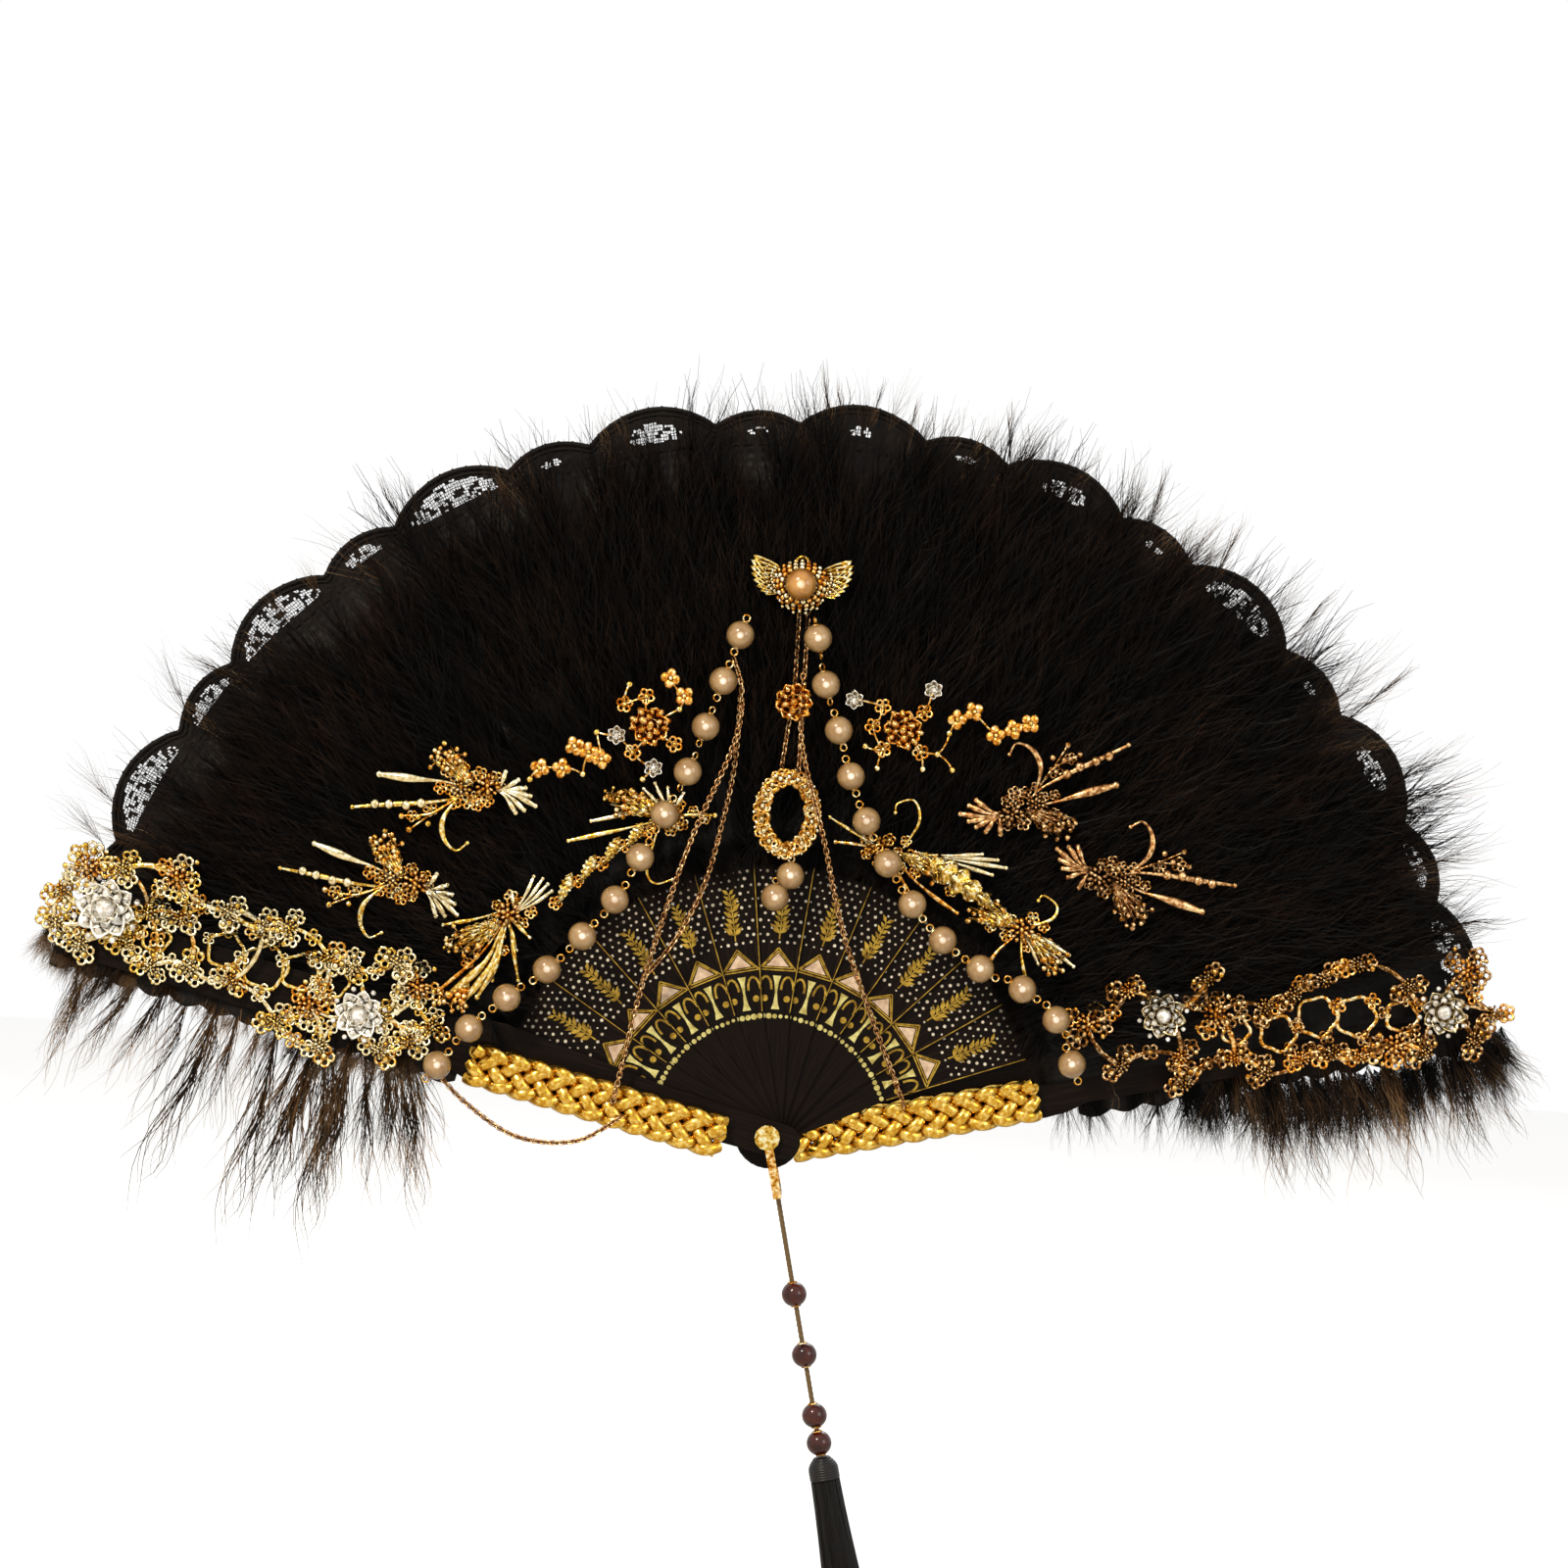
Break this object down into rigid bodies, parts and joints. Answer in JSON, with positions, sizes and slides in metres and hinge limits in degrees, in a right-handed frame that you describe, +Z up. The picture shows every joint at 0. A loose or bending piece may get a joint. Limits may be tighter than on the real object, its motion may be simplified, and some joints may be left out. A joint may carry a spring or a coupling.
{
  "type": "feather fan",
  "caption": "Open folding hand fan with black sticks, cloth leaf, lace edge and feathers, gold ornaments, pearl strands and a beaded tassel.",
  "frame": {"origin": "on the rivet's axis, at the middle rib's mid thickness, where the hand holds the sticks", "axes": "+Z up along the middle rib, -Y towards the viewer of the front, +X to that viewer's right"},
  "size_m": [0.5497, 0.0483, 0.4731],
  "materials": {
    "black_wood": "black lacquer with print",
    "black_cloth": "satin cloth",
    "black_lace": "corded lace",
    "black_feather": "marabou down",
    "gold": "polished gold plate",
    "pearl": "pearl lustre",
    "dark_bead": "gloss",
    "black_silk": "silk thread"
  },
  "bodies": {
    "middle_rib": {"rib_06": "black_wood", "rivet": "gold", "rivet_cap": "gold", "spacer_washer": "black_wood", "leaf_cloth": "black_cloth", "lace_edging": "black_lace", "brooch_setting": "gold", "brooch_pearl": "pearl", "flower_connector": "gold", "oval_frame": "gold", "pendant_pearls": "pearl", "chain_center": "gold", "pearl_strand_left": "pearl", "pearl_strand_right": "pearl", "chain_left_long": "gold", "chain_left_short": "gold", "chain_right": "gold"},
    "rib_05": {"rib_05": "black_wood", "feather_tuft_05": "black_feather", "sprig_left": "gold", "phoenix_spray_inner_left": "gold"},
    "rib_04": {"rib_04": "black_wood"},
    "rib_03": {"rib_03": "black_wood", "feather_tuft_03": "black_feather", "dragonfly_inner_left": "gold"},
    "rib_02": {"rib_02": "black_wood"},
    "rib_01": {"rib_01": "black_wood", "feather_tuft_01": "black_feather", "dragonfly_outer_left": "gold", "phoenix_spray_outer_left": "gold"},
    "guard_left": {"guard_left": "black_wood", "braid_trim_left": "gold", "filigree_band_left": "gold", "fringe_left": "black_feather", "chain_drop": "gold"},
    "rib_07": {"rib_07": "black_wood", "feather_tuft_07": "black_feather", "sprig_right": "gold", "phoenix_spray_inner_right": "gold"},
    "rib_08": {"rib_08": "black_wood"},
    "rib_09": {"rib_09": "black_wood", "feather_tuft_09": "black_feather", "dragonfly_inner_right": "gold"},
    "rib_10": {"rib_10": "black_wood"},
    "rib_11": {"rib_11": "black_wood", "feather_tuft_11": "black_feather", "dragonfly_outer_right": "gold", "phoenix_spray_outer_right": "gold"},
    "guard_right": {"guard_right": "black_wood", "braid_trim_right": "gold", "filigree_band_right": "gold", "fringe_right": "black_feather"},
    "tassel": {"bail": "gold", "tassel_cord": "black_silk", "tassel_bead_1": "dark_bead", "tassel_bead_2": "dark_bead", "tassel_bead_3": "dark_bead", "tassel_bead_4": "dark_bead", "tassel_cap": "black_silk", "tassel_skirt": "black_silk"}
  },
  "joints": [
    {"name": "fold_rib_05", "type": "hinge", "parent": "middle_rib", "child": "rib_05", "pos_m": [0, 0, 0], "axis": [0, 1, 0], "range_deg": [0, 5], "deforming": ["leaf_cloth", "lace_edging", "feather_tuft_01", "feather_tuft_03", "feather_tuft_05", "feather_tuft_07", "feather_tuft_09", "feather_tuft_11", "pearl_strand_left", "pearl_strand_right", "chain_left_long", "chain_left_short", "chain_right"]},
    {"name": "fold_rib_04", "type": "hinge", "parent": "rib_05", "child": "rib_04", "pos_m": [0, 0, 0], "axis": [0, 1, 0], "range_deg": [0, 5]},
    {"name": "fold_rib_03", "type": "hinge", "parent": "rib_04", "child": "rib_03", "pos_m": [0, 0, 0], "axis": [0, 1, 0], "range_deg": [0, 5]},
    {"name": "fold_rib_02", "type": "hinge", "parent": "rib_03", "child": "rib_02", "pos_m": [0, 0, 0], "axis": [0, 1, 0], "range_deg": [0, 5]},
    {"name": "fold_rib_01", "type": "hinge", "parent": "rib_02", "child": "rib_01", "pos_m": [0, 0, 0], "axis": [0, 1, 0], "range_deg": [0, 5]},
    {"name": "fold_guard_left", "type": "hinge", "parent": "rib_01", "child": "guard_left", "pos_m": [0, 0, 0], "axis": [0, 1, 0], "range_deg": [0, 5]},
    {"name": "fold_rib_07", "type": "hinge", "parent": "middle_rib", "child": "rib_07", "pos_m": [0, 0, 0], "axis": [0, -1, 0], "range_deg": [0, 5]},
    {"name": "fold_rib_08", "type": "hinge", "parent": "rib_07", "child": "rib_08", "pos_m": [0, 0, 0], "axis": [0, -1, 0], "range_deg": [0, 5]},
    {"name": "fold_rib_09", "type": "hinge", "parent": "rib_08", "child": "rib_09", "pos_m": [0, 0, 0], "axis": [0, -1, 0], "range_deg": [0, 5]},
    {"name": "fold_rib_10", "type": "hinge", "parent": "rib_09", "child": "rib_10", "pos_m": [0, 0, 0], "axis": [0, -1, 0], "range_deg": [0, 5]},
    {"name": "fold_rib_11", "type": "hinge", "parent": "rib_10", "child": "rib_11", "pos_m": [0, 0, 0], "axis": [0, -1, 0], "range_deg": [0, 5]},
    {"name": "fold_guard_right", "type": "hinge", "parent": "rib_11", "child": "guard_right", "pos_m": [0, 0, 0], "axis": [0, -1, 0], "range_deg": [0, 5]},
    {"name": "tassel_swing", "type": "hinge", "parent": "middle_rib", "child": "tassel", "pos_m": [0, 0, 0], "axis": [0, 1, 0], "range_deg": [-35, 35]}
  ],
  "couplings": [
    {"joint": "fold_rib_04", "follows": "fold_rib_05", "ratio": 1},
    {"joint": "fold_rib_03", "follows": "fold_rib_05", "ratio": 1},
    {"joint": "fold_rib_02", "follows": "fold_rib_05", "ratio": 1},
    {"joint": "fold_rib_01", "follows": "fold_rib_05", "ratio": 1},
    {"joint": "fold_guard_left", "follows": "fold_rib_05", "ratio": 1},
    {"joint": "fold_rib_07", "follows": "fold_rib_05", "ratio": 1},
    {"joint": "fold_rib_08", "follows": "fold_rib_05", "ratio": 1},
    {"joint": "fold_rib_09", "follows": "fold_rib_05", "ratio": 1},
    {"joint": "fold_rib_10", "follows": "fold_rib_05", "ratio": 1},
    {"joint": "fold_rib_11", "follows": "fold_rib_05", "ratio": 1},
    {"joint": "fold_guard_right", "follows": "fold_rib_05", "ratio": 1}
  ]
}
